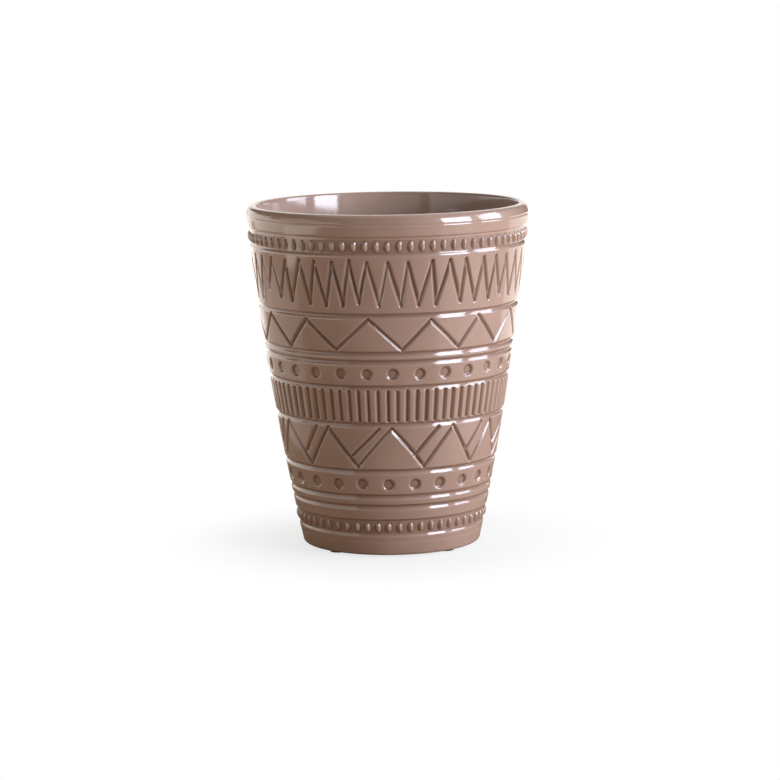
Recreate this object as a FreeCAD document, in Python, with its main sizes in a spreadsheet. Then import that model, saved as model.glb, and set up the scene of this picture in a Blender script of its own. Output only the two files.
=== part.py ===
import FreeCAD, Part
import os
import Sketcher

# A glazed flower pot: one tapered ceramic vessel with turned bands, one of them a ring of
# upright reeds, standing on four felt pads. The origin is on the table under the pot's axis,
# and +Z is up.

doc = FreeCAD.newDocument("flower_pot")

# Driving sizes, in millimetres, counts and degrees
SIZES = (
    ("rim_diameter", 140, "across the collar, the widest place"),
    ("pot_height", 170, "from the table to the top of the lip"),
    ("foot_diameter", 85, "across the flat ring that the clay stands on"),
    ("foot_edge", 1.8, "rounding between the foot and the wall"),
    ("wall_bulge", 2.2, "swell of the wall past a straight taper"),
    ("wall_thickness", 5, "clay between the two faces of the wall"),
    ("collar_projection", 0.7, "step from the widest of the collar in to the wall"),
    ("collar_depth", 10.4, "height of the plain collar at the lip"),
    ("collar_lean", 0.6, "narrowing of the collar down to its lower edge"),
    ("lip_outer_round", 3.6, "rounding of the lip's outer edge, its inner edge takes the rest"),
    ("floor_thickness", 7, "clay under the inside"),
    ("floor_round", 9, "corner between the floor and the inner wall"),
    ("foot_ring_width", 10, "flat ring round the recessed underside"),
    ("underside_recess", 1.2, "depth of the recess inside that ring"),
    ("groove_width", 3.3, "width of a ring groove between two bands"),
    ("groove_depth", 0.8, "depth of a ring groove under the wall"),
    ("channel_height", 9.2, "height of the channel behind a row of beads"),
    ("channel_depth", 0.9, "depth of that channel under the wall"),
    ("reed_count", 78, "upright reeds round the pot, with a slot between each two"),
    ("reed_slot_width", 2.9, "across a slot between two reeds, at its lower end"),
    ("reed_slot_depth", 1.1, "depth of such a slot, at its lower end"),
    ("reed_end_gap", 0.35, "plain wall between a slot's end and the groove beside it"),
    ("reed_start_angle", -86.4, "where the first slot lies, from the X axis"),
    ("pad_diameter", 8, "across a round felt pad"),
    ("pad_thickness", 1, "height of a felt pad"),
    ("pad_sides", 16, "straight sides that make up a pad's round edge"),
    ("pad_count", 4, "felt pads, evenly round the foot ring"),
)

# Heights of the grooves between the bands, as shares of the pot's height, from the foot up
GROOVE_HEIGHT_SHARES = (0.1515, 0.1825, 0.258, 0.3975, 0.5055, 0.5795, 0.604, 0.7135)

# Height of the middle of the lower channel of beads, as a share of the pot's height
LOWER_CHANNEL_HEIGHT_SHARE = 0.089

# The wall's line meets the foot's plane this share of the edge's size past the flat
FOOT_EDGE_REACH_SHARE = 0.85

# Middle of a rounding drawn as two bevels, as a share of its radius in from each side
LIP_SHOULDER_SHARE = 0.29

# The wedge that cuts a reed slot reaches this share of the slot's depth out from its bottom
SLOT_REACH_SHARE = 1.6


def make_sheet():
    """Write the driving sizes to the sheet, one named cell each."""
    sheet = doc.addObject("Spreadsheet::Sheet", "Sizes")
    for row, (name, value, note) in enumerate(SIZES, start=1):
        sheet.set(f"A{row}", note)
        sheet.set(f"B{row}", str(value))
        sheet.setAlias(f"B{row}", name)
    doc.recompute()
    return sheet


sheet = make_sheet()


def number(expression):
    """Work out an expression of the sheet's sizes."""
    return float(sheet.evalExpression(expression))


# Radii and levels that several features share, as expressions of the sheet's sizes
FOOT_LEVEL = "Sizes.pad_thickness"
LIP_LEVEL = "Sizes.pot_height"
COLLAR_LEVEL = "(Sizes.pot_height - Sizes.collar_depth)"
FLOOR_LEVEL = "(Sizes.pad_thickness + Sizes.floor_thickness)"
FOOT_RADIUS = f"(Sizes.foot_diameter / 2 + Sizes.foot_edge * {FOOT_EDGE_REACH_SHARE})"
RIM_RADIUS = "(Sizes.rim_diameter / 2)"
NECK_RADIUS = f"({RIM_RADIUS} - Sizes.collar_projection)"
INNER_LIP_RADIUS = "(Sizes.rim_diameter / 2 - Sizes.wall_thickness)"
LIP_INNER_ROUND = "(Sizes.wall_thickness - Sizes.lip_outer_round)"
PAD_RING_RADIUS = "(Sizes.foot_diameter / 2 - Sizes.foot_ring_width / 2)"
GROOVE_LEVELS = [f"(Sizes.pot_height * {share})" for share in GROOVE_HEIGHT_SHARES]

# The reeds stand between the fourth groove from the foot and the fifth
REED_BAND = GROOVE_LEVELS[3:5]


def wall_radius(level):
    """Outer radius of the wall at a level, on its swelling taper."""
    climb = f"(({level} - {FOOT_LEVEL}) / ({COLLAR_LEVEL} - {FOOT_LEVEL}))"
    taper = f"{FOOT_RADIUS} + ({NECK_RADIUS} - {FOOT_RADIUS}) * {climb}"
    return f"({taper} + 4 * Sizes.wall_bulge * {climb} * (1 - {climb}))"


def reed_wall_radius(level):
    """Outer radius of the reeds' band, whose wall is straight from groove to groove."""
    low, high = REED_BAND
    climb = f"(({level} - {low}) / ({high} - {low}))"
    return f"({wall_radius(low)} * (1 - {climb}) + {wall_radius(high)} * {climb})"


def new_sketch(body, name, plane_role):
    """Start a sketch on one of the body's own planes."""
    sketch = body.newObject("Sketcher::SketchObject", name)
    plane = [item for item in body.Origin.OriginFeatures if item.Role == plane_role][0]
    sketch.AttachmentSupport = [(plane, "")]
    sketch.MapMode = "FlatFace"
    return sketch


def pin_down(sketch, geometry, point, across, up):
    """Hold one point of a sketch at two expressions."""
    for kind, expression in (("DistanceX", across), ("DistanceY", up)):
        place = number(expression)
        if place == 0:
            axis = -2 if kind == "DistanceX" else -1
            sketch.addConstraint(Sketcher.Constraint("PointOnObject", geometry, point, axis))
            continue
        index = sketch.addConstraint(Sketcher.Constraint(kind, -1, 1, geometry, point, place))
        sketch.setExpression(f"Constraints[{index}]", expression)


def draw_outline(sketch, corners):
    """Draw a closed outline of straight edges through corners given as expressions."""
    spots = [FreeCAD.Vector(number(across), number(up), 0) for across, up in corners]
    first = sketch.GeometryCount
    for position, spot in enumerate(spots):
        following = spots[(position + 1) % len(spots)]
        sketch.addGeometry(Part.LineSegment(spot, following), False)
    for position, (across, up) in enumerate(corners):
        edge = first + position
        following = first + (position + 1) % len(corners)
        sketch.addConstraint(Sketcher.Constraint("Coincident", edge, 2, following, 1))
        pin_down(sketch, edge, 1, across, up)


def turn_about_axis(body, kind, sketch, name):
    """Revolve a sketch a full turn about the pot's axis, adding to the body or cutting it."""
    feature = body.newObject(kind, name)
    feature.Profile = sketch
    feature.ReferenceAxis = (sketch, ["V_Axis"])
    feature.Angle = 360
    sketch.Visibility = False
    body.Tip = feature
    doc.recompute()
    return feature


def lower_channel_corners():
    """Outline of the channel round the foot, with a slanted side above and below its bottom."""
    middle = f"(Sizes.pot_height * {LOWER_CHANNEL_HEIGHT_SHARE})"
    low = f"({middle} - Sizes.channel_height / 2)"
    high = f"({middle} + Sizes.channel_height / 2)"
    low_floor = f"({low} + Sizes.channel_depth)"
    high_floor = f"({high} - Sizes.channel_depth)"
    return [
        (wall_radius(low), low),
        (f"({wall_radius(low_floor)} - Sizes.channel_depth)", low_floor),
        (f"({wall_radius(high_floor)} - Sizes.channel_depth)", high_floor),
        (wall_radius(high), high),
    ]


def upper_channel_corners():
    """Outline of the channel under the collar, which the collar's underside closes."""
    low = f"({COLLAR_LEVEL} - Sizes.channel_height)"
    low_floor = f"({low} + Sizes.channel_depth)"
    return [
        (wall_radius(low), low),
        (f"({wall_radius(low_floor)} - Sizes.channel_depth)", low_floor),
        (f"({NECK_RADIUS} - Sizes.channel_depth)", COLLAR_LEVEL),
    ]


def make_vessel():
    """The pot's vessel: foot ring, swelling tapered wall, two channels, collar and inside."""
    body = doc.addObject("PartDesign::Body", "pot")
    body.Label = "pot"
    recess_level = f"({FOOT_LEVEL} + Sizes.underside_recess)"
    recess_radius = "(Sizes.foot_diameter / 2 - Sizes.foot_ring_width)"
    edge_level = f"({FOOT_LEVEL} + Sizes.foot_edge)"
    corner_level = f"({FLOOR_LEVEL} + Sizes.floor_round)"
    corner_radius = f"({wall_radius(corner_level)} - Sizes.wall_thickness)"
    middle_level = f"(({corner_level} + {LIP_LEVEL}) / 2)"
    middle_radius = f"({wall_radius(middle_level)} - Sizes.wall_thickness)"
    shoulder_level = f"({LIP_LEVEL} - Sizes.lip_outer_round)"
    shoulder_top = f"({LIP_LEVEL} - Sizes.lip_outer_round * {LIP_SHOULDER_SHARE})"
    corners = [
        (recess_radius, FOOT_LEVEL),
        ("(Sizes.foot_diameter / 2)", FOOT_LEVEL),
        (wall_radius(edge_level), edge_level),
    ]
    corners += lower_channel_corners()
    corners += [(wall_radius(level), level) for level in GROOVE_LEVELS]
    corners += upper_channel_corners()
    corners += [
        (f"({RIM_RADIUS} - Sizes.collar_lean)", COLLAR_LEVEL),
        (RIM_RADIUS, shoulder_level),
        (f"({RIM_RADIUS} - Sizes.lip_outer_round * {LIP_SHOULDER_SHARE})", shoulder_top),
        (f"({RIM_RADIUS} - Sizes.lip_outer_round)", LIP_LEVEL),
        (INNER_LIP_RADIUS, f"({LIP_LEVEL} - {LIP_INNER_ROUND})"),
        (middle_radius, middle_level),
        (corner_radius, corner_level),
        (f"({corner_radius} - Sizes.floor_round)", FLOOR_LEVEL),
        ("0", FLOOR_LEVEL),
        ("0", recess_level),
        (recess_radius, recess_level),
    ]
    profile = new_sketch(body, "vessel_profile", "XZ_Plane")
    draw_outline(profile, corners)
    doc.recompute()
    turn_about_axis(body, "PartDesign::Revolution", profile, "vessel_turned")
    return body


def cut_ring_grooves(body):
    """Shallow V-bottomed grooves between the bands, turned in one cut."""
    sketch = new_sketch(body, "groove_profiles", "XZ_Plane")
    for level in GROOVE_LEVELS:
        low = f"({level} - Sizes.groove_width / 2)"
        high = f"({level} + Sizes.groove_width / 2)"
        outside = f"({wall_radius(high)} + Sizes.groove_depth)"
        corners = (
            (f"({wall_radius(level)} - Sizes.groove_depth)", level),
            (wall_radius(low), low),
            (outside, low),
            (outside, high),
            (wall_radius(high), high),
        )
        draw_outline(sketch, corners)
    doc.recompute()
    turn_about_axis(body, "PartDesign::Groove", sketch, "ring_grooves")


def slot_ends():
    """Levels of a reed slot's lower and upper end, just clear of the grooves beside it."""
    low, high = REED_BAND
    reach = "(Sizes.groove_width / 2 + Sizes.reed_end_gap)"
    return f"({low} + {reach})", f"({high} - {reach})"


def draw_slot_section(body, name, level, growth):
    """Draw a reed slot's V section at a level: the section at its lower end, times its growth."""
    sketch = new_sketch(body, name, "XY_Plane")
    sketch.setExpression("AttachmentOffset.Base.z", level)
    sketch.setExpression("AttachmentOffset.Rotation.Angle", "Sizes.reed_start_angle * 1 deg")
    wall = reed_wall_radius(slot_ends()[0])
    bottom = f"({wall} - Sizes.reed_slot_depth)"
    edge = f"sqrt({wall} ^ 2 - (Sizes.reed_slot_width / 2) ^ 2)"
    outside = f"(({bottom} + ({edge} - {bottom}) * {SLOT_REACH_SHARE}) * {growth})"
    side = f"(Sizes.reed_slot_width / 2 * {SLOT_REACH_SHARE} * {growth})"
    corners = ((f"({bottom} * {growth})", "0"), (outside, f"(-{side})"), (outside, side))
    draw_outline(sketch, corners)
    sketch.Visibility = False
    return sketch


def cut_reed_slots(body):
    """V-shaped slots that leave upright reeds, one lofted cut repeated round the pot.

    The slot grows with the wall's radius, so all its edges run to the tip of the wall's cone.
    """
    low, high = slot_ends()
    growth = f"({reed_wall_radius(high)} / {reed_wall_radius(low)})"
    foot = draw_slot_section(body, "slot_foot", low, "1")
    head = draw_slot_section(body, "slot_head", high, growth)
    doc.recompute()
    slot = body.newObject("PartDesign::SubtractiveLoft", "reed_slot")
    slot.Profile = foot
    slot.Sections = [head]
    slot.Ruled = True
    doc.recompute()
    axis = [item for item in body.Origin.OriginFeatures if item.Role == "Z_Axis"][0]
    pattern = body.newObject("PartDesign::PolarPattern", "reed_slots")
    pattern.Originals = [slot]
    pattern.Axis = (axis, [""])
    pattern.Angle = 360
    pattern.setExpression("Occurrences", "Sizes.reed_count")
    body.Tip = pattern
    doc.recompute()


def make_pads():
    """Round felt pads under the foot ring, each a piece of its own."""
    pads = []
    count = int(number("Sizes.pad_count"))
    for position in range(count):
        pad = doc.addObject("Part::Prism", f"felt_pad_{position + 1}")
        pad.Label = f"felt_pad_{position + 1}"
        pad.setExpression("Polygon", "Sizes.pad_sides")
        pad.setExpression("Circumradius", "Sizes.pad_diameter / 2")
        pad.setExpression("Height", "Sizes.pad_thickness")
        angle = f"(360 * ({position} + 0.5) / Sizes.pad_count)"
        pad.setExpression("Placement.Base.x", f"{PAD_RING_RADIUS} * cos({angle} * 1 deg)")
        pad.setExpression("Placement.Base.y", f"{PAD_RING_RADIUS} * sin({angle} * 1 deg)")
        pads.append(pad)
    doc.recompute()
    return pads


def cut_away(body, cut):
    """Make a cut in the body, and stop if it took nothing off."""
    volume = body.Shape.Volume
    cut(body)
    if body.Shape.Volume >= volume:
        raise RuntimeError(f"{cut.__name__} took nothing off {body.Label}")


def check(pieces):
    """Stop if any object failed, or any piece has no valid solid."""
    for item in doc.Objects:
        bad = [state for state in item.State if state in ("Invalid", "Error")]
        if bad:
            raise RuntimeError(f"{item.Name} is {bad}")
    for piece in pieces:
        shape = piece.Shape
        if shape.isNull() or not shape.isValid() or not shape.Solids:
            raise RuntimeError(f"{piece.Label} has no valid solid")


pot = make_vessel()
cut_away(pot, cut_ring_grooves)
cut_away(pot, cut_reed_slots)
pieces = [pot] + make_pads()
doc.recompute()
check(pieces)

os.makedirs("parts", exist_ok=True)
for piece in pieces:
    piece.Shape.exportStep(f"parts/{piece.Label}.step")
    print(piece.Label, round(piece.Shape.Volume, 1), piece.Shape.BoundBox)
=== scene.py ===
import math

import bmesh
import bpy
import numpy as np
from bpy.props import FloatProperty, FloatVectorProperty, IntProperty, PointerProperty
from mathutils import Matrix, Vector


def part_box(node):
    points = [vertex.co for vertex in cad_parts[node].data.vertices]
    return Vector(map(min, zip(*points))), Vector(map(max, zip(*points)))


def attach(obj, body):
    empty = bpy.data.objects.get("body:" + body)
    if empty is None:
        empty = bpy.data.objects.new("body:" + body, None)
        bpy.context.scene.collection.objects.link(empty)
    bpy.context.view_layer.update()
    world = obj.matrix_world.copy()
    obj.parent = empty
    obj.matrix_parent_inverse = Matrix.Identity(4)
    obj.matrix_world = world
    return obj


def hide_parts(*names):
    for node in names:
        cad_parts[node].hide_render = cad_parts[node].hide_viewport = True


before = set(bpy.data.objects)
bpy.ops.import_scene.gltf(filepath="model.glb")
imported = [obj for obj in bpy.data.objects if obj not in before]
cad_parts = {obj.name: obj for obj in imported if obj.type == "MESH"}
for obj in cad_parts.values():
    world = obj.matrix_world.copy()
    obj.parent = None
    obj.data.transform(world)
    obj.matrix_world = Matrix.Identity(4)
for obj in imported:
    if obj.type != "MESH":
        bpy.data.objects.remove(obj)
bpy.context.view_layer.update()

bl_info = {
    "name": "Banded Flower Pot",
    "version": (1, 0, 0),
    "blender": (4, 5, 0),
    "location": "3D View > Sidebar > Flower Pot",
    "description": "A glazed stoneware flower pot with turned and carved bands",
    "category": "Add Mesh",
}

MM = 0.001
POT_LOW, POT_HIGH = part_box("pot")
FELT_PADS = 4
GLAZE = "taupe_glaze"

# Levels of the bands, in millimetres above the table
GROOVES = (121.3, 102.68, 98.52, 85.94, 67.58, 43.86, 31.03, 25.76)
UPPER_BEADS = 154.87
LOWER_BEADS = 15.13
UPPER_DOTS = 92.7
LOWER_DOTS = 37.3
REEDS = (68.6, 85.1)

# Levels of the tops and the feet of each row of triangles
ZIGZAG_LEVELS = (147.5, 126.9)
TRIANGLE_LEVELS = (119.2, 104.8)
DOUBLE_TRIANGLE_LEVELS = (65.6, 46.2)

# Where the clay is cut into rings: the outer and the inner level of each joint
JOINTS = {
    "foot": (8.2, 22.0),
    "lower_beads": (25.76, 25.76),
    "lower_dots": (43.86, 43.86),
    "double_triangles": (67.58, 67.58),
    "reeds": (85.94, 85.94),
    "upper_dots": (102.68, 102.68),
    "triangles": (121.3, 121.3),
    "zigzag": (151.7, 151.7),
    "upper_beads": (158.1, 158.1),
}

# The collar's crease and its lip: inward from the rim, down from the top, and rounding
LIP_LINE = (
    (0.14, 5.6, 1.0), (0.22, 4.95, 0.4), (0.03, 4.3, 0.7), (0.19, 3.4, 3.0),
    (0.50, 2.2, 3.0), (0.95, 1.15, 1.8), (1.7, 0.4, 1.1), (2.6, 0.02, 1.0))

# A turned groove: how far its deepest line lies over its level, how far it reaches up and down
# from there, as shares of its width, and how steep its two sides are
GROOVE_RISE_SHARE = 0.12
GROOVE_UP_SHARE, GROOVE_DOWN_SHARE = 0.36, 0.64
GROOVE_UP_POWER, GROOVE_DOWN_POWER = 1.2, 1.7

# The edges of a channel behind beads: how far each lies outside the channel, and its softness
CHANNEL_TOP_EDGE = (0.15, 1.0)
CHANNEL_FOOT_EDGE = (0.35, 2.0)

# Width, height and lift of a bead, and the rounding of its crest
UPPER_BEAD = (2.9, 5.3, 1.3)
LOWER_BEAD = (2.9, 4.8, 1.3)
BEAD_TIP = 0.12

# Hand-cut marks: the rounding at the bottom of a stroke or slot, how far past a stroke's ends its
# cut is looked for on the narrowest carved wall, a dent's flat middle, and a slot's width and end
CUT_BOTTOM_ROUND = 0.22
STROKE_REACH = 2.2
NARROWEST_RADIUS = 50.0
DENT_FLAT_RADIUS = 1.9
SLOT_HALF_WIDTH = 1.45
SLOT_END = 0.6

# How far out of the foot ring the wall starts, as a share of the rounding between them
FOOT_EDGE_SHARE = 0.85

# The hair-thin first and last row of a band, which keep the shading of its joints level, and the
# steps of its mesh for each bead or reed
EDGE_ROW = 0.02
LOWER_BEAD_STEPS, UPPER_BEAD_STEPS, REED_STEPS = 18, 20, 18

# The most of a line's side that the arc at one of its corners takes
ARC_SHARE = 0.49

# How near the drawn wall the points of the outer face lie, and how near its edge a ring stays as
# high as it was turned
ON_THE_WALL = 0.002
AT_THE_EDGE = 0.001

# How glaze pools, with painted shade in the recesses: how far off a depth is compared with its
# surroundings, the difference that counts as a full hollow or ridge, the depth that counts as
# full, and the shares of the two
PROBE = 0.7
SHARP, SHARP_SHARE = 0.22, 0.6
DEEP, DEEP_SHARE = 1.1, 0.4

# Heights in metres between which the glaze gives way to the foot's bare clay
BARE_CLAY = (0.00132, 0.00112)

# Points nearer than this, in metres, are one
MERGE = 0.000004

# Light: tints of the windows and of the room, the room's dim glow, and in metres how far off its
# walls are, the height that they are aimed at, and how high the lit paper lies
DAYLIGHT = (0.94, 0.995, 1.17)
ROOM_LIGHT = (1.0, 0.965, 0.93)
ROOM_SHADE = (1.0, 0.74, 0.52)
ROOM_GLOW = 0.035
WALL_DISTANCE = 1.3
POT_MIDDLE = 0.10
PAPER_LIFT = 0.002

# The floor shows its own shade up to the first distance and is white from the second one on
PAPER_FADE = (0.043, 0.120)
PAPER_WHITENESS = 0.76

# The camera: focal length and picture width in pixels, place in metres, tilt and roll in radians
FOCAL_LENGTH = 2981.4
PICTURE_WIDTH = 780
SENSOR_WIDTH = 36.0
VIEWPOINT = (0.000113, -1.4728, 0.2985)
VIEW_TILT = 0.149796
VIEW_ROLL = 0.01414


class FlowerPotSizes(bpy.types.PropertyGroup):
    """Sizes of the pot's body and of what is carved in it"""

    rim_diameter: FloatProperty(
        name="Rim diameter", description="Across the collar, the widest place",
        default=float(POT_HIGH[0] - POT_LOW[0]), min=0.05, unit="LENGTH")
    pot_height: FloatProperty(
        name="Height", description="From the table to the top of the lip",
        default=float(POT_HIGH[2]), min=0.05, unit="LENGTH")
    foot_level: FloatProperty(
        name="Foot level", description="Underside of the foot ring, on its felt pads",
        default=float(POT_LOW[2]), min=0.0, unit="LENGTH")
    foot_diameter: FloatProperty(
        name="Foot diameter", description="Across the flat ring under the foot",
        default=0.085, min=0.03, unit="LENGTH")
    foot_edge: FloatProperty(
        name="Foot edge", description="Rounding between the foot and the wall",
        default=0.0018, min=0.0, unit="LENGTH")
    foot_ring_width: FloatProperty(
        name="Foot ring", description="Width of the flat ring that the pot stands on",
        default=0.010, min=0.002, unit="LENGTH")
    underside_recess: FloatProperty(
        name="Recess", description="Depth of the underside inside the foot ring",
        default=0.0012, min=0.0, unit="LENGTH")
    wall_bulge: FloatProperty(
        name="Bulge", description="Swell of the wall past a straight taper",
        default=0.0022, min=0.0, unit="LENGTH")
    wall_thickness: FloatProperty(
        name="Wall", description="Clay between the two faces of the wall",
        default=0.005, min=0.002, unit="LENGTH")
    floor_thickness: FloatProperty(
        name="Floor", description="Clay under the inside",
        default=0.007, min=0.002, unit="LENGTH")
    floor_round: FloatProperty(
        name="Floor corner", description="Rounding between the floor and the inner wall",
        default=0.009, min=0.001, unit="LENGTH")
    collar_depth: FloatProperty(
        name="Collar", description="Height of the plain collar at the lip",
        default=0.0104, min=0.004, unit="LENGTH")
    collar_projection: FloatProperty(
        name="Collar step", description="Step from the widest of the collar to the wall",
        default=0.0007, min=0.0, unit="LENGTH")
    collar_lean: FloatProperty(
        name="Collar lean", description="Narrowing of the collar to its lower edge",
        default=0.0006, min=0.0, unit="LENGTH")
    groove_width: FloatProperty(
        name="Groove width", description="Width of a turned groove between two bands",
        default=0.0034, min=0.0005, unit="LENGTH")
    groove_depth: FloatProperty(
        name="Groove depth", description="Depth of a turned groove",
        default=0.00085, min=0.0, unit="LENGTH")
    channel_height: FloatProperty(
        name="Channel height", description="Height of the channel behind a row of beads",
        default=0.0092, min=0.001, unit="LENGTH")
    channel_depth: FloatProperty(
        name="Channel depth", description="Depth of the channel behind the beads",
        default=0.0008, min=0.0, unit="LENGTH")
    stroke_width: FloatProperty(
        name="Stroke width", description="Width of a line that was cut by hand",
        default=0.0026, min=0.0005, unit="LENGTH")
    stroke_depth: FloatProperty(
        name="Stroke depth", description="Depth of a line that was cut by hand",
        default=0.0011, min=0.0, unit="LENGTH")
    dent_diameter: FloatProperty(
        name="Dent diameter", description="Across a round dent, with its soft edge",
        default=0.0067, min=0.001, unit="LENGTH")
    dent_depth: FloatProperty(
        name="Dent depth", description="Depth of a round dent",
        default=0.0010, min=0.0, unit="LENGTH")
    slot_depth: FloatProperty(
        name="Slot depth", description="Depth of the slots between the reeds",
        default=0.0011, min=0.0, unit="LENGTH")
    upper_beads: IntProperty(
        name="Upper beads", description="Beads in the row under the collar", default=78, min=12)
    lower_beads: IntProperty(
        name="Lower beads", description="Beads in the row above the foot", default=55, min=12)
    reeds: IntProperty(
        name="Reeds", description="Upright reeds round the middle band", default=78, min=12)
    upper_dents: IntProperty(
        name="Upper dents", description="Dents in the upper dotted band", default=29, min=6)
    lower_dents: IntProperty(
        name="Lower dents", description="Dents in the lower dotted band", default=25, min=6)
    zigzags: IntProperty(
        name="Zigzags", description="Peaks of the fine zigzag round the pot", default=43, min=6)
    triangles: IntProperty(
        name="Triangles", description="Peaks of the single-line triangles", default=14, min=4)
    double_triangles: IntProperty(
        name="Double triangles", description="Peaks of the double-line triangles",
        default=12, min=4)


class FlowerPotFinish(bpy.types.PropertyGroup):
    """Colours and gloss of the glaze, the bare clay and the felt"""

    glaze: FloatVectorProperty(
        name="Glaze", description="The taupe of the glaze on the plain wall",
        subtype="COLOR", size=3, min=0, max=1, default=(0.392, 0.260, 0.196))
    # The pooled glaze colour, also painted as shade into the recesses and used for the dark specks
    deep_glaze_and_shade: FloatVectorProperty(
        name="Pooled glaze", description="The browner taupe where glaze has pooled",
        subtype="COLOR", size=3, min=0, max=1, default=(0.160, 0.080, 0.045))
    glaze_thin: FloatVectorProperty(
        name="Thin glaze", description="The paler taupe where glaze has run off an edge",
        subtype="COLOR", size=3, min=0, max=1, default=(0.47, 0.335, 0.265))
    satin: FloatProperty(
        name="Body roughness", description="Roughness of the glaze under its glassy skin",
        subtype="FACTOR", default=0.42, min=0, max=1)
    gloss: FloatProperty(
        name="Skin roughness", description="Roughness of the glassy skin",
        subtype="FACTOR", default=0.09, min=0, max=1)
    clay: FloatVectorProperty(
        name="Bare clay", description="Unglazed stoneware of the foot ring",
        subtype="COLOR", size=3, min=0, max=1, default=(0.52, 0.41, 0.30))
    felt: FloatVectorProperty(
        name="Felt", description="Wool felt of the pads",
        subtype="COLOR", size=3, min=0, max=1, default=(0.115, 0.095, 0.082))
    floor: FloatVectorProperty(
        name="Floor", description="Paper that the pot stands on, as the camera sees it",
        subtype="COLOR", size=3, min=0, max=1, default=(0.90, 0.895, 0.885))
    bounce: FloatVectorProperty(
        name="Floor bounce", description="Warm tint that the floor casts up on the pot",
        subtype="COLOR", size=3, min=0, max=1, default=(0.43, 0.29, 0.18))


# Shader expressions

class Wire:
    """A node's output that Python's operators turn into more nodes."""

    def __init__(self, tree, socket):
        self.tree = tree
        self.socket = socket

    def maths(self, operation, first, second, clamp=False):
        return add_node(self.tree, "ShaderNodeMath",
                        {"operation": operation, "use_clamp": clamp}, {0: first, 1: second})

    def __add__(self, other):
        return self.maths("ADD", self, other)

    def __radd__(self, other):
        return self.maths("ADD", other, self)

    def __sub__(self, other):
        return self.maths("SUBTRACT", self, other)

    def __rsub__(self, other):
        return self.maths("SUBTRACT", other, self)

    def __mul__(self, other):
        return self.maths("MULTIPLY", self, other)

    def __rmul__(self, other):
        return self.maths("MULTIPLY", other, self)

    def __pow__(self, other):
        return self.maths("POWER", self, other)

    def clamped(self):
        return self.maths("ADD", self, 0.0, clamp=True)


def add_node(tree, kind, settings=None, inputs=None, output=0):
    """Add a node: its settings first, then the values or links of its sockets."""
    node = tree.nodes.new(kind)
    for key, value in (settings or {}).items():
        setattr(node, key, value)
    for key, value in (inputs or {}).items():
        if isinstance(value, Wire):
            tree.links.new(value.socket, node.inputs[key])
        else:
            node.inputs[key].default_value = value
    return Wire(tree, node.outputs[output]) if node.outputs else None


class Recipe:
    """The nodes of a material or of the world, under construction."""

    def __init__(self, owner):
        owner.use_nodes = True
        self.owner = owner
        self.tree = owner.node_tree
        self.tree.nodes.clear()

    def node(self, kind, settings=None, inputs=None, output=0):
        return add_node(self.tree, kind, settings, inputs, output)

    def coordinates(self):
        return self.node("ShaderNodeTexCoord", output="Object")

    def coordinate(self, axis):
        inputs = {"Vector": self.coordinates()}
        return self.node("ShaderNodeSeparateXYZ", inputs=inputs, output=axis)

    def noise(self, scale, detail=2.0, roughness=0.5, distortion=0.0):
        return self.node(
            "ShaderNodeTexNoise", {"noise_dimensions": "3D"},
            {"Vector": self.coordinates(), "Scale": scale, "Detail": detail,
             "Roughness": roughness, "Distortion": distortion})

    def stored(self, name):
        return self.node("ShaderNodeAttribute", {"attribute_name": name}, output="Fac")

    def spread(self, value, low, high, to_low=0.0, to_high=1.0):
        return self.node(
            "ShaderNodeMapRange", {"interpolation_type": "SMOOTHSTEP", "clamp": True},
            {"Value": value, "From Min": low, "From Max": high,
             "To Min": to_low, "To Max": to_high})

    def mix(self, factor, first, second):
        """Blend two colours, each a wire or plain values."""
        first, second = (colour if isinstance(colour, Wire) else (*colour, 1.0)
                         for colour in (first, second))
        return self.node("ShaderNodeMix", {"data_type": "RGBA"},
                         {0: factor, 6: first, 7: second}, output=2)

    def camera_sees(self):
        return self.node("ShaderNodeLightPath", output="Is Camera Ray")

    def finish(self, shader, kind="ShaderNodeOutputMaterial"):
        self.node(kind, inputs={"Surface": shader})
        return self.owner


def glaze_material(finish):
    """Glossy taupe glaze: mottled, browner with pooling and painted shade, paler where it thins."""
    recipe = Recipe(bpy.data.materials.new(GLAZE))
    pooling_and_shade = recipe.stored("pooling_and_shade")
    ridge = recipe.stored("ridge")
    cloud = recipe.noise(scale=38.0, detail=3.0, roughness=0.55)
    speck = recipe.noise(scale=900.0, roughness=0.6)
    drift = recipe.spread(cloud, 0.30, 0.70)
    colour = recipe.mix(drift * 0.16, finish.glaze, finish.glaze_thin)
    # Painted shade, partly real pooling: the glaze darkens in cuts and where the relief lies deep
    pooled_and_shaded = (pooling_and_shade * 0.95 + (1 - drift) * 0.08).clamped()
    colour = recipe.mix(pooled_and_shaded, colour, finish.deep_glaze_and_shade)
    colour = recipe.mix((ridge * 0.38).clamped(), colour, finish.glaze_thin)
    colour = recipe.mix(recipe.spread(speck, 0.62, 0.75) * 0.10, colour, finish.deep_glaze_and_shade)
    bare = recipe.spread(recipe.coordinate("Z"), *BARE_CLAY)
    clay = recipe.mix(recipe.spread(speck, 0.35, 0.65) * 0.5, finish.clay,
                      [part * 0.72 for part in finish.clay])
    colour = recipe.mix(bare, colour, clay)
    roughness = finish.satin + drift * 0.05 + bare * 0.45
    orange_peel = recipe.noise(scale=420.0)
    swell = recipe.noise(scale=75.0, detail=1.0, roughness=0.4)
    height = orange_peel * 0.12 + swell * 1.4 + speck * bare * 0.5
    bump = recipe.node("ShaderNodeBump", inputs={
        "Height": height, "Strength": 0.22, "Distance": 0.0011})
    shader = recipe.node("ShaderNodeBsdfPrincipled", inputs={
        "Base Color": colour, "Roughness": roughness, "IOR": 1.52,
        "Specular IOR Level": 0.15, "Normal": bump,
        "Coat Weight": 1 - bare, "Coat Roughness": finish.gloss, "Coat IOR": 1.6})
    return recipe.finish(shader)


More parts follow.
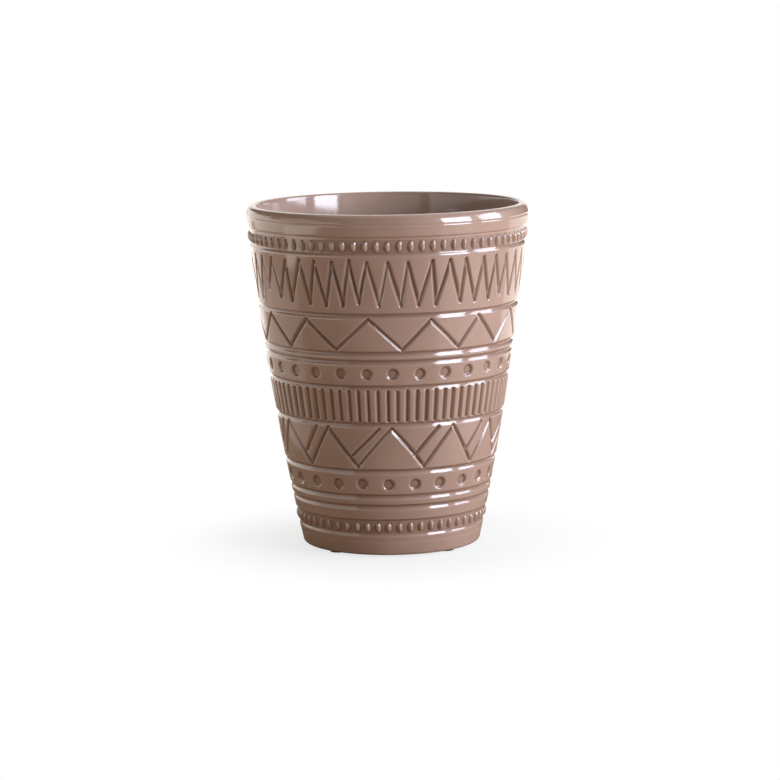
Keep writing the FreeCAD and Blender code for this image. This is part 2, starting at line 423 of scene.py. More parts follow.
def felt_material(finish):
    """Short matted wool with pale fibres."""
    recipe = Recipe(bpy.data.materials.new("wool_felt"))
    fibres = recipe.noise(scale=2600.0, detail=4.0, roughness=0.7, distortion=1.5)
    tufts = recipe.noise(scale=700.0)
    colour = recipe.mix(recipe.spread(fibres, 0.52, 0.70) * 0.55, finish.felt,
                        [part * 2.2 for part in finish.felt])
    bump = recipe.node("ShaderNodeBump", inputs={
        "Height": fibres * 0.7 + tufts * 0.5, "Strength": 0.7, "Distance": 0.0003})
    shader = recipe.node("ShaderNodeBsdfPrincipled", inputs={
        "Base Color": colour, "Roughness": 0.95, "Sheen Weight": 0.4, "Normal": bump})
    return recipe.finish(shader)


def floor_material(finish):
    """Pale paper that keeps the pot's shadow and fades to plain white further off."""
    recipe = Recipe(bpy.data.materials.new("white_sweep"))
    away = (recipe.coordinate("X") ** 2.0 + recipe.coordinate("Y") ** 2.0) ** 0.5
    fade = recipe.spread(away, *PAPER_FADE, to_low=PAPER_WHITENESS)
    seen = recipe.camera_sees()
    paper = recipe.node("ShaderNodeBsdfPrincipled", inputs={
        "Base Color": recipe.mix(seen, finish.bounce, finish.floor), "Roughness": 0.9})
    white = recipe.node("ShaderNodeEmission", inputs={"Color": (1, 1, 1, 1), "Strength": 1.0})
    blend = recipe.node("ShaderNodeMixShader", inputs={0: fade * seen, 1: paper, 2: white})
    return recipe.finish(blend)


# The pot's lines, in millimetres

def in_mm(value):
    """Metres as millimetres."""
    return value / MM


def wall_radius(sizes, level):
    """Outer radius of the plain wall at a level."""
    low = in_mm(sizes.foot_level)
    high = in_mm(sizes.pot_height - sizes.collar_depth)
    foot = in_mm(sizes.foot_diameter) / 2 + in_mm(sizes.foot_edge) * FOOT_EDGE_SHARE
    neck = in_mm(sizes.rim_diameter) / 2 - in_mm(sizes.collar_projection)
    climb = (np.asarray(level, float) - low) / (high - low)
    bulge = 4 * in_mm(sizes.wall_bulge) * climb * (1 - climb)
    return foot + (neck - foot) * climb + bulge


def wall_lean(sizes, level):
    """Slope of the wall's radius over its height."""
    step = 0.25
    return (wall_radius(sizes, level + step) - wall_radius(sizes, level - step)) / (2 * step)


def inner_wall(sizes, low, high, count):
    """Points of the inner face, from low up to high."""
    return [(wall_radius(sizes, level) - in_mm(sizes.wall_thickness), level)
            for level in np.linspace(high, low, count)[::-1]]


def rounded_line(corners, steps=8):
    """Points along a line of corners (radius, level, rounding), each corner an arc."""
    points = []
    last = len(corners) - 1
    for place, (across, up, rounding) in enumerate(corners):
        here = Vector((across, up))
        if place in (0, last) or rounding <= 0:
            points.append((here.x, here.y))
            continue
        before = Vector(corners[place - 1][:2]) - here
        after = Vector(corners[place + 1][:2]) - here
        half = before.angle(after) / 2
        reach = min(rounding / math.tan(half), ARC_SHARE * before.length,
                    ARC_SHARE * after.length)
        radius = reach * math.tan(half)
        bisector = (before.normalized() + after.normalized()).normalized()
        middle = here + bisector * radius / math.sin(half)
        start = here + before.normalized() * reach - middle
        end = here + after.normalized() * reach - middle
        turn = start.angle_signed(end)
        for step in range(steps + 1):
            arm = start.copy()
            arm.rotate(Matrix.Rotation(-turn * step / steps, 2))
            points.append((middle.x + arm.x, middle.y + arm.y))
    return points


def spaced(points, stride):
    """The points of a line with more between those that lie far apart."""
    filled = [points[0]]
    for before, after in zip(points, points[1:]):
        length = math.dist(before, after)
        parts = max(1, math.ceil(length / stride))
        filled += [(before[0] + (after[0] - before[0]) * part / parts,
                    before[1] + (after[1] - before[1]) * part / parts)
                   for part in range(1, parts + 1)]
    return filled


# Carving

def soft_step(value):
    """0 to 1 with a soft start and end."""
    value = np.clip(value, 0.0, 1.0)
    return value * value * (3 - 2 * value)


def notch(distance, half_width):
    """Depth share of a V-shaped cut with a narrow round bottom, by distance from its middle."""
    reach = np.hypot(distance, CUT_BOTTOM_ROUND) - CUT_BOTTOM_ROUND
    full = np.hypot(half_width, CUT_BOTTOM_ROUND) - CUT_BOTTOM_ROUND
    return np.clip(1 - reach / full, 0.0, 1.0) ** 1.1


def turn_between(angle, middle):
    """Angle from a middle, in degrees, the short way round."""
    return (angle - middle + 180.0) % 360.0 - 180.0


def deeper(first, second):
    """The deeper of two cuts, blended a little where they meet."""
    return (first ** 4 + second ** 4) ** 0.25


def uneven(random, size, share):
    """A size as a hand leaves it, a little over or under."""
    return size * (1 + random.normal(0, share))


def set_out(start, count, random, jitter):
    """Angles of a row of marks set out by eye round the pot, each drawn when it is asked for."""
    for number in range(count):
        yield start + 360.0 * number / count + random.normal(0, jitter)


class Surface:
    """Places on the wall where a depth is wanted: an angle, a level and the radius there."""

    def __init__(self, sizes, angle, level):
        self.sizes = sizes
        self.angle = angle
        self.level = level
        self.radius = wall_radius(sizes, level)

    def moved(self, across, up):
        """The places beside these, by millimetres along the wall."""
        return Surface(self.sizes, self.angle + np.degrees(across / self.radius), self.level + up)

    def across_from(self, middle):
        """Millimetres round the wall from an angle."""
        return np.radians(turn_between(self.angle, middle)) * self.radius


def groove_cuts(place):
    """Turned grooves between the bands."""
    sizes = place.sizes
    depth = np.zeros_like(place.level)
    width = in_mm(sizes.groove_width)
    for level in GROOVES:
        above = place.level - level - GROOVE_RISE_SHARE * width
        reach = np.where(above > 0, above / (GROOVE_UP_SHARE * width),
                         -above / (GROOVE_DOWN_SHARE * width))
        power = np.where(above > 0, GROOVE_UP_POWER, GROOVE_DOWN_POWER)
        cut = (1 - np.clip(reach, 0, 1) ** 2) ** power
        depth = np.maximum(depth, cut * in_mm(sizes.groove_depth))
    return depth


def channel_cut(place, middle):
    """The flat-floored channel behind a row of beads."""
    sizes = place.sizes
    half = in_mm(sizes.channel_height) / 2
    top_gap, top_softness = CHANNEL_TOP_EDGE
    foot_gap, foot_softness = CHANNEL_FOOT_EDGE
    above = soft_step((middle + half - place.level + top_gap) / top_softness)
    below = soft_step((place.level - middle + half + foot_gap) / foot_softness)
    return above * below * in_mm(sizes.channel_depth)


def turned_cuts(place):
    """What is cut on the wheel: the grooves, and the channels behind the two rows of beads."""
    depth = groove_cuts(place)
    for middle in (UPPER_BEADS, LOWER_BEADS):
        depth = np.maximum(depth, channel_cut(place, middle))
    return depth


def bead_row(place, middle, angles, bead, random):
    """Beads standing out of a channel, as a negative depth."""
    width, height, tall = bead
    out = np.zeros_like(place.level)
    for angle in angles:
        half_width = uneven(random, width / 2, share=0.03)
        half_height = uneven(random, height / 2, share=0.02)
        lift = uneven(random, tall, share=0.04)
        level = middle + random.normal(0, 0.06)
        across = place.across_from(angle)
        near = np.abs(across) < half_width
        aside = np.hypot(across[near], BEAD_TIP) / half_width
        upward = np.abs(place.level[near] - level) / half_height
        reach = aside ** 1.5 + upward ** 2.6
        crown = np.clip(1 - reach, 0, 1) ** 0.85 * lift
        out[near] = np.maximum(out[near], crown)
    return -out


def stroke_cuts(place, strokes, random):
    """Straight lines cut by hand, each from one (angle, level) to another."""
    sizes = place.sizes
    depth = np.zeros_like(place.level)
    for (angle_a, level_a), (angle_b, level_b) in strokes:
        half_width = uneven(random, in_mm(sizes.stroke_width) / 2, share=0.05)
        full = uneven(random, in_mm(sizes.stroke_depth), share=0.06)
        bow = random.normal(0, 0.12)
        middle = (angle_a + angle_b) / 2
        wide = abs(angle_b - angle_a) / 2 + math.degrees(STROKE_REACH / NARROWEST_RADIUS)
        near = np.abs(turn_between(place.angle, middle)) < wide
        if not near.any():
            continue
        radius = place.radius[near]
        x = np.radians(turn_between(place.angle[near], middle)) * radius
        z = place.level[near]
        ax = math.radians(angle_a - middle) * radius
        bx = math.radians(angle_b - middle) * radius
        run_x, run_z = bx - ax, level_b - level_a
        length = np.sqrt(run_x ** 2 + run_z ** 2)
        along = np.clip(((x - ax) * run_x + (z - level_a) * run_z) / length ** 2, 0, 1)
        sway = bow * np.sin(along * math.pi)
        off_x = x - ax - along * run_x
        off_z = z - level_a - along * run_z
        side = (off_x * run_z - off_z * run_x) / length
        past = np.sqrt(np.clip(off_x ** 2 + off_z ** 2 - side ** 2, 0, None))
        distance = np.hypot(side - sway, past)
        depth[near] = deeper(depth[near], notch(distance, half_width) * full)
    return depth


def dent_cuts(place, middle, angles, random):
    """Round dents with a flat middle and a soft edge."""
    sizes = place.sizes
    depth = np.zeros_like(place.level)
    for angle in angles:
        outer = uneven(random, in_mm(sizes.dent_diameter) / 2, share=0.025)
        full = uneven(random, in_mm(sizes.dent_depth), share=0.05)
        level = middle + random.normal(0, 0.12)
        across = place.across_from(angle)
        near = np.abs(across) < outer
        distance = np.hypot(across[near], place.level[near] - level)
        slope = (distance - DENT_FLAT_RADIUS) / (outer - DENT_FLAT_RADIUS)
        depth[near] = np.maximum(depth[near], (1 - soft_step(slope)) * full)
    return depth


def slot_cuts(place, angles, random):
    """Upright slots with rounded ends that leave the reeds standing."""
    low, high = REEDS
    depth = np.zeros_like(place.level)
    for angle in angles:
        half_width = uneven(random, SLOT_HALF_WIDTH, share=0.04)
        full = uneven(random, in_mm(place.sizes.slot_depth), share=0.05)
        top = high + random.normal(0, 0.12)
        foot = low + random.normal(0, 0.10)
        across = place.across_from(angle)
        near = np.abs(across) < half_width
        inside = np.minimum(top - place.level[near], place.level[near] - foot)
        cut = notch(across[near], half_width) * soft_step(inside / SLOT_END) * full
        depth[near] = np.maximum(depth[near], cut)
    return depth


def round_the_pot(seen, count, random, jitter):
    """The seen angles, then the rest of the count spread over what is left of the turn."""
    missing = count - len(seen)
    gap = 360.0 - (seen[-1] - seen[0])
    rest = [seen[-1] + gap * number / (missing + 1) + random.normal(0, jitter)
            for number in range(1, missing + 1)]
    return list(seen) + rest


def peaks_and_feet(tops, feet, count, levels, random, jitter):
    """Turning points of a zigzag: each top with the foot that follows it."""
    top_level, foot_level = levels
    tops = round_the_pot(tops, count, random, jitter)
    points = []
    for number in range(count):
        here = tops[number]
        after = tops[(number + 1) % count] + (360.0 if number == count - 1 else 0.0)
        if number < len(feet):
            foot, level = feet[number]
        else:
            foot = (here + after) / 2 + random.normal(0, jitter)
            level = foot_level + random.normal(0, 0.4)
        points.append(((here, top_level + random.normal(0, 0.25)), (foot, level)))
    return points


def legs(points):
    """Each top of a zigzag, its foot and the top that follows them, once round the pot."""
    first_angle, first_level = points[0][0]
    tops = [top for top, foot in points] + [(first_angle + 360.0, first_level)]
    return [(top, foot, following) for (top, foot), following in zip(points, tops[1:])]


def zigzag_strokes(points):
    """The two strokes of each tooth, down to its foot and up to the next top."""
    return [stroke for top, foot, following in legs(points)
            for stroke in ((top, foot), (foot, following))]


# What is carved in each band. Angles that show in the photograph are read from it, and the rest
# carry on round the back

def lower_beads(place, random):
    """The beads above the foot."""
    angles = set_out(-60.5, place.sizes.lower_beads, random, jitter=0.10)
    return bead_row(place, LOWER_BEADS, angles, LOWER_BEAD, random)


def lower_dots(place, random):
    """The dents of the lower dotted band."""
    seen = (-75, -60, -45, -30, -15.8, -1.3, 13.2, 27.5, 42.5, 57)
    angles = round_the_pot(seen, place.sizes.lower_dents, random, jitter=0.3)
    return dent_cuts(place, LOWER_DOTS, angles, random)


def double_triangles(place, random):
    """The triangles whose rising side is cut twice."""
    high, low = DOUBLE_TRIANGLE_LEVELS
    tops = (-62, -32.5, 0.5, 33, 60.5)
    feet = [(angle, low) for angle in (-46.5, -17.5, 17.5, 47, 71)]
    # By the number of the top that each leads up to, counted from the first one seen
    second_cuts = {1: ((-39.5, high), (-49, 52.2)), 2: ((-5.5, high), (-20.5, 51.5)),
                   3: ((24.5, high), (12.5, 52)), 4: ((52.5, high), (43, 53))}
    count = place.sizes.double_triangles
    points = peaks_and_feet(tops, feet, count, (high, low), random, jitter=1.2)
    strokes = []
    for number, (top, foot, following) in enumerate(legs(points), start=1):
        strokes += [(top, foot), (foot, following)]
        if number in second_cuts:
            strokes.append(second_cuts[number])
        else:
            strokes.append(((following[0] - 7.3 + random.normal(0, 0.4), high),
                            (foot[0] - 3.2 + random.normal(0, 0.5), 52.2)))
    return stroke_cuts(place, strokes, random)


def reeds(place, random):
    """The slots between the upright reeds."""
    angles = set_out(3.6, place.sizes.reeds, random, jitter=0.10)
    return slot_cuts(place, angles, random)


def upper_dots(place, random):
    """The dents of the upper dotted band."""
    angles = list(set_out(1.5, place.sizes.upper_dents, random, jitter=0.2))
    return dent_cuts(place, UPPER_DOTS, angles, random)


def triangles(place, random):
    """The single-line triangles."""
    tops = (-63, -38, -9, 18.2, 42.5, 67.5)
    feet = ((-49.5, 104.9), (-24, 104.7), (5.5, 104.6), (32, 104.7), (55, 104.9), (78, 104.8))
    count = place.sizes.triangles
    points = peaks_and_feet(tops, feet, count, TRIANGLE_LEVELS, random, jitter=1.2)
    return stroke_cuts(place, zigzag_strokes(points), random)


def zigzag(place, random):
    """The fine zigzag under the upper beads."""
    tops = (-64.5, -56.4, -47, -38.9, -31.5, -23.5, -16, -8.7, -0.2, 8, 18.2, 26, 33.5, 43,
            50.5, 58)
    feet = ((-61, 132.5), (-52.3, 128.8), (-45, 127.4), (-34.9, 127.0), (-27.2, 126.2),
            (-19.5, 126.4), (-12.5, 127.5), (-4, 126.3), (5.2, 126.6), (12.7, 126.6), (20.2, 126.6),
            (31.5, 127.4), (39, 127.1), (47.2, 127.1), (54.7, 128.6))
    count = place.sizes.zigzags
    points = peaks_and_feet(tops, feet, count, ZIGZAG_LEVELS, random, jitter=0.5)
    return stroke_cuts(place, zigzag_strokes(points), random)


def upper_beads(place, random):
    """The beads under the collar."""
    angles = set_out(0.0, place.sizes.upper_beads, random, jitter=0.10)
    return bead_row(place, UPPER_BEADS, angles, UPPER_BEAD, random)


# Turning the clay on the wheel

def deselect_all():
    """Leave edit mode, with nothing selected."""
    if bpy.context.object and bpy.context.object.mode != "OBJECT":
        bpy.ops.object.mode_set(mode="OBJECT")
    bpy.ops.object.select_all(action="DESELECT")


def turned_ring(name, outer, inner, turns):
    """Spin a closed cross-section, given in millimetres, into a ring of clay."""
    deselect_all()
    bpy.ops.mesh.primitive_plane_add(size=1.0)
    piece = bpy.context.object
    piece.name = piece.data.name = name
    bpy.ops.object.mode_set(mode="EDIT")
    bpy.ops.mesh.delete(type="ONLY_FACE")
    bpy.ops.mesh.select_mode(type="EDGE")
    faces = ((1, outer), (-1, inner))
    for side, points in faces:
        bpy.ops.mesh.select_all(action="DESELECT")
        mesh = bmesh.from_edit_mesh(piece.data)
        for edge in mesh.edges:
            edge.select_set(all(vertex.co.x * side > 0 for vertex in edge.verts))
        bmesh.update_edit_mesh(piece.data)
        if len(points) > 2:
            bpy.ops.mesh.subdivide(number_cuts=len(points) - 2)
    bpy.ops.object.mode_set(mode="OBJECT")
    for side, points in faces:
        row = sorted((vertex for vertex in piece.data.vertices if vertex.co.x * side > 0),
                     key=lambda vertex: vertex.co.y)
        for vertex, (radius, level) in zip(row, points):
            vertex.co = (0.0, -radius * MM, level * MM)
    bpy.ops.object.modifier_add(type="SCREW")
    wheel = piece.modifiers[-1]
    wheel.angle = 2 * math.pi
    wheel.steps = wheel.render_steps = turns
    wheel.use_merge_vertices = True
    wheel.merge_threshold = MERGE
    bpy.ops.object.modifier_apply(modifier=wheel.name)
    bpy.ops.object.mode_set(mode="EDIT")
    bpy.ops.mesh.select_all(action="SELECT")
    bpy.ops.mesh.remove_doubles(threshold=MERGE)
    bpy.ops.mesh.normals_make_consistent(inside=False)
    bpy.ops.object.mode_set(mode="OBJECT")
    return piece


def points_of(piece):
    """A piece's points, in metres, one in each row."""
    spots = np.empty(len(piece.data.vertices) * 3)
    piece.data.vertices.foreach_get("co", spots)
    return spots.reshape(-1, 3)


def angles_of(spots):
    """Angles of points round the pot, in degrees from the camera's side toward the right."""
    return np.degrees(np.arctan2(spots[:, 0], -spots[:, 1]))


def hand_sway(angle, level):
    """The slight unevenness of a wall that was pressed and turned by hand, in millimetres."""
    turn = np.radians(angle)
    return (0.050 * np.sin(2 * turn + 0.7) * np.cos(level / 31.0)
            + 0.035 * np.sin(5 * turn + level / 17.0)
            + 0.020 * np.sin(11 * turn - level / 9.0 + 1.3)
            + 0.014 * np.sin(level / 3.7 + 3 * turn))


def carve(piece, sizes, depth_of):
    """Press a depth, in millimetres, into the outer face; store where it is hollow or proud, the
    hollow for pooled glaze and painted shade.
    """
    spots = points_of(piece) / MM
    reach = np.hypot(spots[:, 0], spots[:, 1])
    level = spots[:, 2]
    outer = np.abs(reach - wall_radius(sizes, level)) < ON_THE_WALL
    pooling_and_shade = np.zeros(len(spots))
    ridge = np.zeros(len(spots))
    place = Surface(sizes, angles_of(spots)[outer], level[outer])
    depth = depth_of(place)
    around = sum(depth_of(place.moved(across, up)) for across, up in
                 ((PROBE, 0), (-PROBE, 0), (0, PROBE), (0, -PROBE))) / 4
    ridge[outer] = np.clip((around - depth) / SHARP, 0, 1)
    # Pooled glaze and painted shade: hollower than its surroundings, or simply deep, darkens the
    # glaze
    pooling_and_shade[outer] = (np.clip((depth - around) / SHARP, 0, 1) * SHARP_SHARE
                     + np.clip(depth / DEEP, 0, 1) * DEEP_SHARE)
    lean = np.arctan(wall_lean(sizes, place.level))
    depth = depth + hand_sway(place.angle, place.level)
    turn = np.radians(place.angle)
    out = place.radius - depth * np.cos(lean)
    spots[outer, 0] = out * np.sin(turn)
    spots[outer, 1] = -out * np.cos(turn)
    inside = ((place.level > level.min() + AT_THE_EDGE)
              & (place.level < level.max() - AT_THE_EDGE))
    spots[outer, 2] = place.level + np.where(inside, depth * np.sin(lean), 0.0)
    piece.data.vertices.foreach_set("co", (spots * MM).ravel())
    store(piece, "pooling_and_shade", pooling_and_shade)
    store(piece, "ridge", ridge)
    piece.data.update()


def sway_ring(piece):
    """Give a plain ring the wall's slight unevenness."""
    spots = points_of(piece)
    sway = hand_sway(angles_of(spots), spots[:, 2] / MM)
    share = 1 - sway * MM / np.hypot(spots[:, 0], spots[:, 1])
    spots[:, :2] *= np.minimum(share, 1.0)[:, None]
    piece.data.vertices.foreach_set("co", spots.ravel())


def store(piece, name, values):
    """Keep a value at each point for the glaze to read."""
    layer = piece.data.attributes.new(name, "FLOAT", "POINT")
    layer.data.foreach_set("value", np.asarray(values, np.float32))


def glazed(piece, context):
    """Smooth the ring, glaze it and let it stand for the pot's clay."""
    deselect_all()
    piece.select_set(True)
    context.view_layer.objects.active = piece
    bpy.ops.object.shade_smooth_by_angle(angle=math.radians(62))
    material = bpy.data.materials.get(GLAZE) or glaze_material(context.scene.flower_pot_finish)
    piece.data.materials.clear()
    piece.data.materials.append(material)
    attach(piece, "root")
    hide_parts("pot")


def band_levels(low, high, rows):
    """Levels of a band's rows."""
    return [low, low + EDGE_ROW, *np.linspace(low, high, rows + 1)[1:-1], high - EDGE_ROW, high]


def band(context, name, below, rows, turns, carving, seed, join=deeper):
    """One ring of the wall, from the joint below it to its own, with what is carved in it."""
    sizes = context.scene.flower_pot_sizes
    (low, inner_low), (high, inner_high) = JOINTS[below], JOINTS[name]
    outer = [(wall_radius(sizes, level), level) for level in band_levels(low, high, rows)]
    inner = inner_wall(sizes, inner_low, inner_high, 5)

    def depth_of(place):
        return join(turned_cuts(place), carving(place, np.random.default_rng(seed)))

    piece = turned_ring(f"{name}_band", outer, inner, turns)
    carve(piece, sizes, depth_of)
    glazed(piece, context)


class FLOWERPOT_OT_foot(bpy.types.Operator):
    """Turn the foot: the recessed underside, the foot ring, the floor and its round corner"""

    bl_idname = "flower_pot.foot"
    bl_label = "Foot and Floor"

    def execute(self, context):
        sizes = context.scene.flower_pot_sizes
        ground = in_mm(sizes.foot_level)
        foot = in_mm(sizes.foot_diameter) / 2
        hollow_radius = foot - in_mm(sizes.foot_ring_width)
        recess = ground + in_mm(sizes.underside_recess)
        edge = in_mm(sizes.foot_edge)
        joint, inner_joint = JOINTS["foot"]
        outside = rounded_line((
            (0.0, recess, 0), (hollow_radius - 0.6, recess, 0.8), (hollow_radius, ground, 0.4),
            (wall_radius(sizes, ground), ground, edge),
            (wall_radius(sizes, joint), joint, 0)))
        top = ground + in_mm(sizes.floor_thickness)
        wall = in_mm(sizes.wall_thickness)
        inside = rounded_line((
            (0.0, top + 0.25, 0),
            (wall_radius(sizes, top) - wall, top, in_mm(sizes.floor_round)),
            (wall_radius(sizes, inner_joint) - wall, inner_joint, 0)), steps=16)
        piece = turned_ring("foot_and_floor", spaced(outside, stride=2.2),
                            spaced(inside, stride=4.0), turns=256)
        carve(piece, sizes, turned_cuts)
        glazed(piece, context)
        return {"FINISHED"}


class FLOWERPOT_OT_lower_beads(bpy.types.Operator):
    """Turn the ring over the foot, with its channel of beads"""

    bl_idname = "flower_pot.lower_beads"
    bl_label = "Lower Bead Band"

    def execute(self, context):
        turns = context.scene.flower_pot_sizes.lower_beads * LOWER_BEAD_STEPS
        band(context, "lower_beads", below="foot", rows=54, turns=turns,
             carving=lower_beads, seed=55, join=np.add)
        return {"FINISHED"}


class FLOWERPOT_OT_lower_dots(bpy.types.Operator):
    """Turn the lower dotted band, with the two plain ribs under it"""

    bl_idname = "flower_pot.lower_dots"
    bl_label = "Lower Dotted Band"

    def execute(self, context):
        band(context, "lower_dots", below="lower_beads", rows=56, turns=1000,
             carving=lower_dots, seed=37)
        return {"FINISHED"}


class FLOWERPOT_OT_double_triangles(bpy.types.Operator):
    """Turn the broad band and cut the double-line triangles in it"""

    bl_idname = "flower_pot.double_triangles"
    bl_label = "Double Triangle Band"

    def execute(self, context):
        band(context, "double_triangles", below="lower_dots", rows=76, turns=1080,
             carving=double_triangles, seed=66)
        return {"FINISHED"}


class FLOWERPOT_OT_reeds(bpy.types.Operator):
    """Turn the middle band and cut the slots between its upright reeds"""

    bl_idname = "flower_pot.reeds"
    bl_label = "Reed Band"

    def execute(self, context):
        turns = context.scene.flower_pot_sizes.reeds * REED_STEPS
        band(context, "reeds", below="double_triangles", rows=58, turns=turns,
             carving=reeds, seed=78)
        return {"FINISHED"}


class FLOWERPOT_OT_upper_dots(bpy.types.Operator):
    """Turn the upper dotted band, with the rib over it"""

    bl_idname = "flower_pot.upper_dots"
    bl_label = "Upper Dotted Band"

    def execute(self, context):
        band(context, "upper_dots", below="reeds", rows=54, turns=1120,
             carving=upper_dots, seed=29)
        return {"FINISHED"}


class FLOWERPOT_OT_triangles(bpy.types.Operator):
    """Turn the band of single-line triangles and cut them"""

    bl_idname = "flower_pot.triangles"
    bl_label = "Triangle Band"

    def execute(self, context):
        band(context, "triangles", below="upper_dots", rows=60, turns=1200,
             carving=triangles, seed=14)
        return {"FINISHED"}


class FLOWERPOT_OT_zigzag(bpy.types.Operator):
    """Turn the tall band and cut the fine zigzag in it"""

    bl_idname = "flower_pot.zigzag"
    bl_label = "Zigzag Band"

    def execute(self, context):
        band(context, "zigzag", below="triangles", rows=74, turns=1200,
             carving=zigzag, seed=43)
        return {"FINISHED"}


class FLOWERPOT_OT_upper_beads(bpy.types.Operator):
    """Turn the channel under the collar, with its row of beads"""

    bl_idname = "flower_pot.upper_beads"
    bl_label = "Upper Bead Band"

    def execute(self, context):
        turns = context.scene.flower_pot_sizes.upper_beads * UPPER_BEAD_STEPS
        band(context, "upper_beads", below="zigzag", rows=30, turns=turns,
             carving=upper_beads, seed=8, join=np.add)
        return {"FINISHED"}


class FLOWERPOT_OT_collar(bpy.types.Operator):
    """Turn the plain collar with its rounded lip"""

    bl_idname = "flower_pot.collar"
    bl_label = "Collar and Lip"

    def execute(self, context):
        sizes = context.scene.flower_pot_sizes
        joint, inner_joint = JOINTS["upper_beads"]
        top = in_mm(sizes.pot_height)
        rim = in_mm(sizes.rim_diameter) / 2
        edge = top - in_mm(sizes.collar_depth)
        wall = in_mm(sizes.wall_thickness)
        floor = wall_radius(sizes, joint) - in_mm(sizes.channel_depth)
        lip = rounded_line((
            (floor, joint, 0), (floor + 0.1, edge - 0.1, 0.5),
            (rim - in_mm(sizes.collar_lean), edge, 0.55),
            *((rim - inward, top - down, rounding) for inward, down, rounding in LIP_LINE),
            (rim - wall + 0.15, top - 0.02, 1.3),
            (wall_radius(sizes, inner_joint) - wall, inner_joint, 0)), steps=9)
        peak = max(range(len(lip)), key=lambda place: lip[place][1])
        piece = turned_ring("collar_and_lip", spaced(lip[:peak + 1], stride=0.7),
                            spaced(lip[peak + 1:][::-1], stride=1.5), turns=720)
        sway_ring(piece)
        for name in ("pooling_and_shade", "ridge"):
            store(piece, name, np.zeros(len(piece.data.vertices)))
        glazed(piece, context)
        return {"FINISHED"}


class FLOWERPOT_OT_felt_pads(bpy.types.Operator):
    """Stamp the round felt pads under the foot ring, with the soft edge of cut wool"""

    bl_idname = "flower_pot.felt_pads"
    bl_label = "Felt Pads"

    def execute(self, context):
        wool = felt_material(context.scene.flower_pot_finish)
        for number in range(1, FELT_PADS + 1):
            node = f"felt_pad_{number}"
            low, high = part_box(node)
            middle = [(first + last) / 2 for first, last in zip(low, high)]
            deselect_all()
            bpy.ops.mesh.primitive_cylinder_add(
                vertices=72, radius=(high[0] - low[0]) / 2, depth=high[2] - low[2], location=middle)
            pad = context.object
            pad.name = pad.data.name = f"felt_disc_{number}"
            bpy.ops.object.transform_apply(location=True, rotation=True, scale=True)
            bpy.ops.object.modifier_add(type="BEVEL")
            edge = pad.modifiers[-1]
            edge.width = 0.15 * MM
            edge.segments = 3
            bpy.ops.object.modifier_apply(modifier=edge.name)
            bpy.ops.object.shade_smooth_by_angle(angle=math.radians(50))
            pad.data.materials.append(wool)
            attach(pad, "root")
            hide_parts(node)
        return {"FINISHED"}


class FLOWERPOT_OT_stage(bpy.types.Operator):
    """Set the pale floor, the soft lights and the camera"""

    bl_idname = "flower_pot.stage"
    bl_label = "Stage"

    def execute(self, context):
        finish = context.scene.flower_pot_finish
        deselect_all()
        bpy.ops.mesh.primitive_plane_add(size=6.0)
        floor = context.object
        floor.name = "floor"
        floor.data.materials.append(floor_material(finish))
        set_world(context)
        # Azimuths in degrees from the camera's side toward the right, then elevations, and
        # brightness, where 1 looks white
        for name, tint, near_edge, far_edge, low, high, brightness in (
                ("window_left_pane", DAYLIGHT, 46.0, 70.0, 5.0, 31.0, 13.6),
                ("window_right_pane", DAYLIGHT, 80.0, 103.0, 5.0, 30.0, 8.6),
                ("front_wall", ROOM_LIGHT, -30.0, 40.0, 2.0, 14.0, 0.6),
                ("left_wall", ROOM_LIGHT, -94.0, -40.0, -3.5, 22.0, 1.1),
                ("left_wall_beyond", ROOM_LIGHT, -160.0, -94.0, -3.5, 14.0, 1.6),
                ("white_backdrop", ROOM_LIGHT, 160.0, 200.0, -3.5, 60.0, 1.2),
                ("ceiling", ROOM_LIGHT, -30.0, 30.0, 66.0, 114.0, 0.55)):
            wall_light(context, name, tint, near_edge, far_edge, low, high, brightness)
        # Azimuth of one edge, its two ends' distances from the pot, the width from that edge
        # toward the right, and brightness
        for name, edge, near, far, width, brightness in (
                ("paper_left", -90.0, 0.57, 2.2, 1.60, 1.9),
                ("paper_left_beyond", -90.0, 0.72, 2.2, -1.40, 1.3),
                ("paper_back_left", -144.0, 0.60, 1.6, -0.55, 1.3),
                ("paper_near_left", -80.0, 0.16, 0.50, -0.45, 0.5),
                ("paper_right", 42.0, 0.12, 0.80, 0.35, 0.45),
                ("paper_back_right", 116.0, 0.40, 1.7, 0.90, 1.2),
                ("paper_behind", 160.0, 0.25, 1.6, 0.80, 1.0)):
            paper_light(context, name, edge, near, far, width, brightness)
        set_camera(context)
        context.scene.view_settings.view_transform = "Standard"
        return {"FINISHED"}


def panel_light(context, name, width, height, brightness, tint):
    """A glowing rectangle that the camera doesn't see, only the pot."""
    lamp = bpy.data.lights.new(name, "AREA")
    lamp.shape = "RECTANGLE"
    lamp.size, lamp.size_y = width, height
    lamp.energy = math.pi * width * height * brightness
    lamp.color = tint
    holder = bpy.data.objects.new(name, lamp)
    holder.visible_camera = False
    context.scene.collection.objects.link(holder)
    return holder


def wall_light(context, name, tint, near_edge, far_edge, low, high, brightness):
    """A window or wall that fills a patch of the room as the pot sees it, in degrees."""
    turn = math.radians((near_edge + far_edge) / 2)
    climb = math.radians((low + high) / 2)
    away = Vector((math.sin(turn) * math.cos(climb), -math.cos(turn) * math.cos(climb),
                   math.sin(climb))) * WALL_DISTANCE
    width = 2 * WALL_DISTANCE * math.tan(math.radians(far_edge - near_edge) / 2)
    height = 2 * WALL_DISTANCE * math.tan(math.radians(high - low) / 2)
    wall = panel_light(context, name, width, height, brightness, tint)
    wall.location = Vector((0, 0, POT_MIDDLE)) + away
    wall.rotation_euler = (-away).to_track_quat("-Z", "Y").to_euler()


